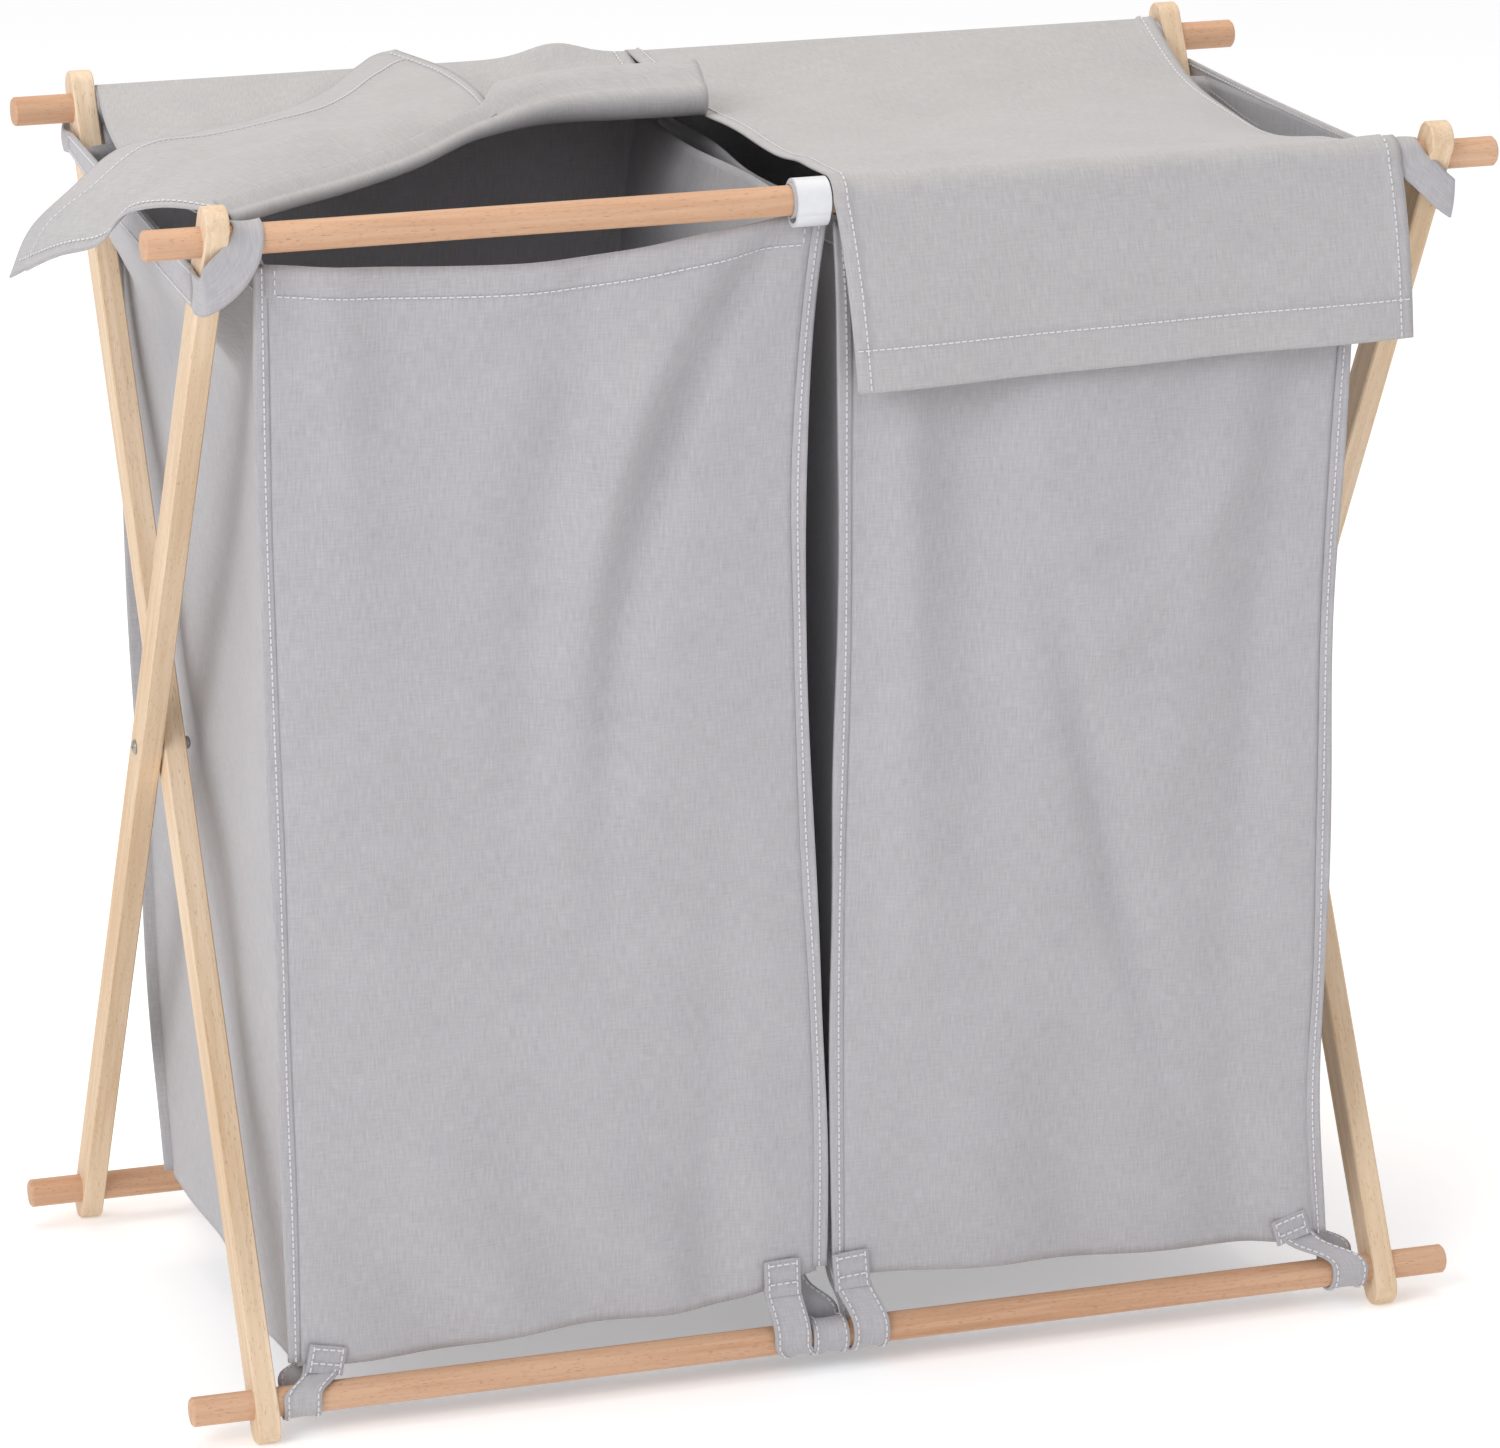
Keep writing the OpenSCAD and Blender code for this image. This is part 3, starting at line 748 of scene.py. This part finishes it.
def turned_back(s, t):
    """A point of the turned-back part, as a Coons patch: the fold edge and the free hem blended
    across, the hanging edge and the side edge blended along, less the corners' plain blend."""
    fold_share = np.linspace(0, 1, 200)
    fold = along_curve(fold_edge, fold_share)
    stop = fold_share[np.argmin(np.abs(fold[:, 0] - side_edge[0][0]))]
    near, far = along_curve(fold_edge, s * stop), along_curve(free_hem, s)
    start, end = along_curve(hanging_edge, t), along_curve(side_edge, t)
    corner = [
        along_curve(fold_edge, [0])[0], along_curve(fold_edge, [stop])[0],
        np.array(free_hem[0]), np.array(free_hem[-1]),
    ]
    end = end + (1 - t)[:, None] * (corner[1] - np.array(side_edge[0]))
    s_, t_ = s[:, None], t[:, None]
    plain = (
        (1 - s_) * (1 - t_) * corner[0] + s_ * (1 - t_) * corner[1]
        + (1 - s_) * t_ * corner[2] + s_ * t_ * corner[3]
    )
    patch = (1 - t_) * near + t_ * far + (1 - s_) * start + s_ * end - plain
    swell = np.sin(np.pi * t) * np.sin(np.pi * np.clip(s * 1.05, 0, 1))
    ripple = 0.0018 * np.sin(11 * s + 5 * t) + 0.0015 * np.sin(23 * s - 6 * t)
    patch[:, 2] += (0.0045 + ripple) * swell
    return patch


def under_layer(s, t):
    """A point of the part that lies on the bars: t runs from 0 behind the rear bar up over it, then
    straight to the fold edge at 1, with a little sag and soft pulls towards the bar."""
    turn = np.radians(wrap_from + wrap_turn * np.clip(t / over_bar, 0, 1))
    f = np.clip((t - over_bar) / (1 - over_bar), 0, 1)
    x0 = lid_ends["left"][0] + s * (lid_ends["left"][1] - lid_ends["left"][0])
    edge = along_curve(fold_edge, s)
    y = (1 - f) * (bar_y + lid_r * np.cos(turn)) + f * edge[:, 1]
    bulge = -0.016 * np.sin(np.pi * f) * (1 - s) ** 3
    x = (1 - f) * x0 + f * edge[:, 0] + bulge
    ends = np.clip(4 * f * (1 - f), 0, 1)
    z = (1 - f) * (top_z + lid_r * np.sin(turn)) + f * (edge[:, 2] - 2 * roll_radius(s))
    z = z - ends * (0.0045 + 0.0016 * np.sin(26 * s + 3 * f) + 0.0014 * np.sin(47 * s - 5 * f) * (1 - f))
    z = z + 0.0075 * bump_at(s, 0.86, 0.07) * bump_at(t, 0.13, 0.09)
    return np.stack([x, y, z], axis=-1)


under_s = np.linspace(0, 1, 90)
under_t = np.concatenate([np.linspace(0, over_bar, 14, endpoint=False), np.linspace(over_bar, 1, 50)])
grid_s, grid_t = np.meshgrid(under_s, under_t)
under = under_layer(grid_s.ravel(), grid_t.ravel()).reshape(*grid_s.shape, 3)
# the fold itself: a small half circle from the lower layer's front up to the upper layer
fold_line = along_curve(fold_edge, under_s)
way = np.gradient(fold_line, axis=0)
way /= np.linalg.norm(way, axis=1, keepdims=True)
ahead_of_fold = np.stack([way[:, 1], -way[:, 0], 0 * way[:, 0]], axis=1)
half_turn = np.radians(np.linspace(-75, 90, 10))[:, None, None]
roll_r = roll_radius(under_s)[:, None]
roll_middle = fold_line - roll_r * np.array([0, 0, 1])
roll = roll_middle + roll_r * (np.cos(half_turn) * ahead_of_fold + np.sin(half_turn) * np.array([0, 0, 1]))
lip_back = np.linspace(0.1, 1, 8)[:, None, None] * (0.008 + lip_more * ease((under_s - 0.64) / 0.22))[:, None]
lip = fold_line - lip_back * ahead_of_fold + lip_back * (lip_rise - lip_back / lip_more) * np.array([0, 0, 1])
under = np.concatenate([under, roll, lip])
left_lid = cloth_grid("left_lid_cloth", under, lid_cotton, "left_lid")

over_s = np.unique(np.concatenate([np.linspace(0, 1, 80), [0.02, 0.025, 0.972, 0.978]]))
over_t = np.unique(np.concatenate([np.linspace(0, 1, 50), [0.86, 0.88, 0.9]]))
grid_s, grid_t = np.meshgrid(over_s, over_t)
over = turned_back(grid_s.ravel(), grid_t.ravel()).reshape(*grid_s.shape, 3)
reach = np.linalg.norm(over[-1] - over[0], axis=1)
hem_share = np.clip(lid_front_hem / np.maximum(reach, 0.03), 0, 0.5)
doubled = (grid_t > 1 - hem_share[None]) | (grid_s > 0.975)
over[:, :, 2] += hem_step * doubled
upper = cloth_grid("left_lid_upper", over, lid_cotton, "left_lid")

over_rows = []
row_s = np.linspace(0.015, 0.975, 120)
row_t = 1 - np.interp(row_s, over_s, hem_share) * 0.86
hem_row = turned_back(row_s, row_t)
over_rows.append((hem_row + (0, 0, 0.0014), facing((0, 0, 1), len(row_s))))
side_t = np.linspace(0.03, 0.97, 60)
side_row = turned_back(np.full(60, 0.978), side_t)
over_rows.append((side_row + (0, 0, 0.0014), facing((0, 0, 1), 60)))
hang_row = turned_back(np.full(60, 0.028), side_t)
over_rows.append((hang_row + (-0.0006, -0.0006, 0.0006), facing((-1, -1, 1), 60)))
under_row = under_layer(np.full(60, 0.972), np.linspace(0.13, 0.98, 60))
over_rows.append((under_row + (0, 0, 0.0008), facing((0, 0, 1), 60)))
left_threads = sew("left_lid_stitching", over_rows, "left_lid")

with bpy.context.temp_override(
    active_object=left_lid, selected_editable_objects=[left_lid, upper], selected_objects=[left_lid, upper]
):
    bpy.ops.object.join()
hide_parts("left_lid")
for piece in (left_lid, left_threads):
    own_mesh(piece)

# ---- Side bands ----
# A doubled strip of the bag's cloth runs front to back outside the legs at each end and holds
# the top bars apart. The bag's end wall is sewn to it between the legs.

band_thick = 0.0018
band_mid_z = (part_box("left_side_band")[0].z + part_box("left_side_band")[1].z) / 2
band_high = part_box("left_side_band")[1].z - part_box("left_side_band")[0].z
band_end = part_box("right_side_band")[1].y


def ribbon(name, centres, across, width, body, rows=70, thick=band_thick, cup=0.0008):
    """A flat strip carried along an eased path through centres. Across gives the strip's own
    direction at each centre, and cup bows it a little across, away from what it lies on."""
    centres, across = np.asarray(centres, float), np.asarray(across, float)
    gone = run_along(centres)
    at = np.linspace(0, gone[-1], rows)
    middle, lean = smooth_path(at, gone, centres), smooth_path(at, gone, across)
    lean /= np.linalg.norm(lean, axis=1, keepdims=True)
    way = np.gradient(middle, axis=0)
    normal = np.cross(lean, way)
    normal /= np.linalg.norm(normal, axis=1, keepdims=True)
    share = np.linspace(-0.5, 0.5, 11)
    widths = np.broadcast_to(smooth_path(at, gone, np.broadcast_to(width, len(centres))), at.shape)
    points = middle[:, None] + lean[:, None] * (share[None, :, None] * widths[:, None, None])
    points = points + normal[:, None] * (cup * (1 - 4 * share**2))[None, :, None]
    piece = cloth_grid(name, points, bag_cotton, body, thick=thick)
    edge_rows = [
        (middle + lean * (sign * (widths / 2 - 0.0022))[:, None] + normal * thick * face / 2, normal * face)
        for sign in (-1, 1) for face in (-1, 1)
    ]
    return piece, edge_rows


up = (0, 0, 1)
for side, sign in (("left", -1), ("right", 1)):
    y = np.linspace(-band_end, band_end, 9)
    sag = 0.0015 * (1 - (y / band_end) ** 2) + 0.004 * ease(-y / bar_y) * (side == "left")
    centres = np.stack([sign * band_line(y), y, band_mid_z - sag], axis=1)
    narrowing = 1 - 0.42 * ease((y / band_end - 0.35) / 0.65)
    centres[:, 2] += 0.0045 * ease((y / band_end - 0.35) / 0.65)
    heights = band_high * 0.92 * narrowing
    band, rows = ribbon(f"{side}_side_band_cloth", centres, [up] * 9, heights, "bags", cup=0.0003)
    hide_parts(f"{side}_side_band")
    threads = sew(f"{side}_band_stitching", rows, "bags")
    for piece in (band, threads):
        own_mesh(piece)

# ---- Corner loops ----
# At each top corner the band goes on round the outside of the leg, slants up in front of it
# and passes over the bar beside it, where its end is sewn down to the bag's corner.

loop_r = 0.0096
for end, face, body in (("front", -1, "outer_frame"), ("rear", 1, "inner_frame")):
    edge_x = float(band_line(face * bar_y))
    if end == "front":
        over_x, over_width, slants = 0.3165, 0.0155, (0.0225, 0.0180)
        dip, high = 0.004, band_high * 0.92
    else:
        over_x, over_width, slants = 0.3100, 0.0085, (0.0130, 0.0130)
        dip, high = -0.0045, band_high * 0.53
    leg_face = bar_y + 0.0105
    for side, sign, slant_width in (("left", -1, slants[0]), ("right", 1, slants[1])):
        low = band_mid_z - dip * (side == "left" or end == "rear")
        plan = [
            (edge_x + 0.0002, band_end + 0.001, low, up, high),
            (edge_x + 0.0008, leg_face - 0.006, low - 0.001, up, high),
            (edge_x - 0.0004, leg_face - 0.0003, low - 0.0005, (0.1, 0, 1), high),
            (0.72 * edge_x + 0.28 * over_x, leg_face + 0.0009, low + 0.0050, (0.55, 0, 0.8), slant_width),
            (0.36 * edge_x + 0.64 * over_x, leg_face + 0.0006, low + 0.0140, (0.75, 0, 0.65), slant_width),
            (over_x + 0.0022, bar_y + loop_r, top_z - 0.0010, (0.9, 0, 0.35), over_width * 1.2),
            (over_x, bar_y + loop_r * 0.7, top_z + loop_r * 0.71, (1, 0, 0.1), over_width),
            (over_x, bar_y, top_z + loop_r, (1, 0, 0), over_width),
            (over_x, bar_y - loop_r * 0.7, top_z + loop_r * 0.71, (1, 0, 0), over_width),
            (over_x, bar_y - loop_r, top_z, (1, 0, 0), over_width),
            (over_x - 0.001, bar_y - loop_r + 0.0015, top_z - 0.009, (1, 0, 0), over_width),
            (0.3085, bar_y - 0.0060, 0.6290, (1, 0, 0), 0.0130),
        ]
        centres = [(sign * x, face * y, z) for x, y, z, _, _ in plan]
        leans = [(sign * a[0], face * a[1], a[2]) for _, _, _, a, _ in plan]
        loop, _ = ribbon(
            f"{end}_corner_loop_{side}_cloth", centres, leans, [w for *_, w in plan], body,
            rows=120, thick=0.0014,
        )
        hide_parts(f"{end}_corner_loop_{side}")

# ---- Centre tab ----
# The bags' middle hangs from a short tube of cloth round the top front bar, which the clip
# holds. It shows as a narrow rim on each side of the clip.

tab_x = (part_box("centre_tab")[0].x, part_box("centre_tab")[1].x)
tab_r = 0.00885
turn = np.linspace(0, 2 * np.pi, 48, endpoint=False)
tab_lengths = np.linspace(*tab_x, 12)
tab = np.empty((len(tab_lengths), len(turn), 3))
tab[:, :, 0] = tab_lengths[:, None]
tab[:, :, 1] = -bar_y + tab_r * np.cos(turn)
tab[:, :, 2] = top_z + tab_r * np.sin(turn)
centre_tab = cloth_grid("centre_tab_cloth", tab, bag_cotton, "outer_frame", loop=True)
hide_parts("centre_tab")

# ---- Bottom straps ----
# Each bag is held down by straps, folded double and sewn to its lower edge, that pass round the
# bottom bars. Spare length is tucked up inside the bag and draws out as the stand folds. The
# middle straps lie a little askew.

strap_width = 0.0205
strap_r = 0.0094
strap_thick = 0.0016
tuck = 0.095
side_dir = (1, 0, 0)


def strap_length(name, plan, body, leans=None, anchor=None, cross_rows=()):
    """One length of strap with its stitching. With an anchor, the strap and its stitching get meshes
    of their own; a ring round a bar has none."""
    leans = leans or [side_dir] * len(plan)
    strap, rows = ribbon(name, plan, leans, strap_width, body, rows=100, thick=strap_thick)
    threads = sew(name.replace("strap", "strap_stitching"), rows + list(cross_rows), body)
    if anchor is not None:
        for piece in (strap, threads):
            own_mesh(piece)
    return strap


def strap_head(name, x, y, face, low, high, tilt):
    """The end of a strap sewn flat on the bag's wall, from low to high, leaning over by tilt, with
    two rows of stitches across it."""
    lean = np.array([np.cos(tilt), 0, -np.sin(tilt)])
    drop = np.array([-np.sin(tilt), 0, -np.cos(tilt)])
    top = np.array([x, y, high])
    plan = [top + drop * share * (high - low) + (0, face * 0.0004 * share, 0) for share in (0, 0.5, 1)]
    rows = []
    for share in (0.10, 0.62):
        middle = top + drop * share * (high - low) + (0, face * 0.0012, 0)
        row = middle + np.linspace(-0.4, 0.4, 12)[:, None] * strap_width * lean
        rows.append((row, facing((0, face, 0), 12)))
    strap_length(name, plan, "bags", [lean] * 3, anchor=(0, 0, foot_z), cross_rows=rows)


# where each front strap is sewn on, where it meets the bar in front and behind, its bag's edge
# height there, how far its head reaches up from that edge, and how far it leans over
front_straps = {
    1: (-0.2840, -0.3010, -0.2990, 0.0365, 0.0110, 0.20),
    2: (-0.0300, -0.0266, -0.0045, 0.0490, 0.0165, -0.03),
    3: (0.0090, 0.0185, 0.0170, 0.0490, 0.0165, -0.08),
    4: (0.2660, 0.3005, 0.2985, 0.0455, 0.0100, -0.30),
}
face_y = -0.1735
for number, (bag_x, bar_x, back_x, edge, reach, tilt) in front_straps.items():
    strap_head(f"front_strap_head_{number}", bag_x, face_y, -1, edge - 0.0045, edge + reach, tilt)
    start_x = bag_x - 0.9 * np.sin(tilt) * reach
    turns = [
        (bar_x, -bar_y - strap_r, foot_z + 0.0050), (bar_x, -bar_y - strap_r, foot_z - 0.0010),
        (bar_x + 0.2 * (back_x - bar_x), -bar_y - strap_r * 0.68, foot_z - strap_r * 0.74),
        ((bar_x + back_x) / 2, -bar_y, foot_z - strap_r),
        (back_x, -bar_y + strap_r * 0.72, foot_z - strap_r * 0.70),
        (back_x, -bar_y + strap_r, foot_z + 0.001),
    ]
    if number == 2:
        # this one goes round the bar a second time, beside its first turn
        turns += [
            (back_x, -bar_y + strap_r * 0.70, foot_z + strap_r * 0.72),
            (back_x, -bar_y, foot_z + strap_r),
            (back_x, -bar_y - strap_r * 0.70, foot_z + strap_r * 0.72),
            (back_x, -bar_y - strap_r, foot_z),
            (back_x, -bar_y - strap_r * 0.70, foot_z - strap_r * 0.72),
            (back_x, -bar_y, foot_z - strap_r - 0.0004),
            (back_x, -bar_y + strap_r * 0.74, foot_z - strap_r * 0.72),
            (back_x, -bar_y + strap_r + 0.0012, foot_z),
        ]
    rear_x = 0.4 * back_x + 0.6 * bag_x
    strap = strap_length(
        f"front_strap_{number}_cloth",
        [
            (start_x, -0.1610, edge + tuck), (start_x, -0.1625, edge + 0.5 * tuck),
            (start_x, -0.1660, edge + 0.0060),
            (start_x + 0.15 * (bar_x - start_x), -0.1725, edge - 0.0030), *turns,
            (back_x, -bar_y + strap_r + 0.0020, foot_z + 0.0100), (rear_x, -0.1570, edge - 0.0035),
            (rear_x, -0.1540, edge + 0.5 * tuck), (rear_x, -0.1540, edge + tuck),
        ],
        "front_straps",
    )
    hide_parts(f"front_strap_{number}")

rear_straps = {1: -0.2660, 2: -0.0250, 3: 0.0155, 4: 0.2660}
for number, x in rear_straps.items():
    ring_turn = np.radians(np.linspace(200, -150, 24))
    ring = [(x, bar_y + strap_r * np.cos(t), foot_z + strap_r * np.sin(t)) for t in ring_turn]
    strap = strap_length(f"rear_strap_{number}_cloth", ring, "rear_straps")
    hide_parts(f"rear_strap_{number}")
    tails = [
        (x, 0.1180, 0.1450), (x, 0.1130, 0.0900), (x, 0.1120, 0.0500), (x, 0.1290, 0.0400),
        (x, 0.1500, 0.0300), (x, 0.1640, 0.0215),
    ]
    strap_length(
        f"rear_strap_tail_{number}", tails, "rear_straps", anchor=(0, bar_y, foot_z)
    )
    wall = [(x, 0.1305, 0.0880), (x, 0.1265, 0.0700), (x, 0.1200, 0.0560), (x, 0.1150, 0.0460)]
    strap_length(f"rear_strap_head_{number}", wall, "bags", anchor=(0, 0, foot_z))
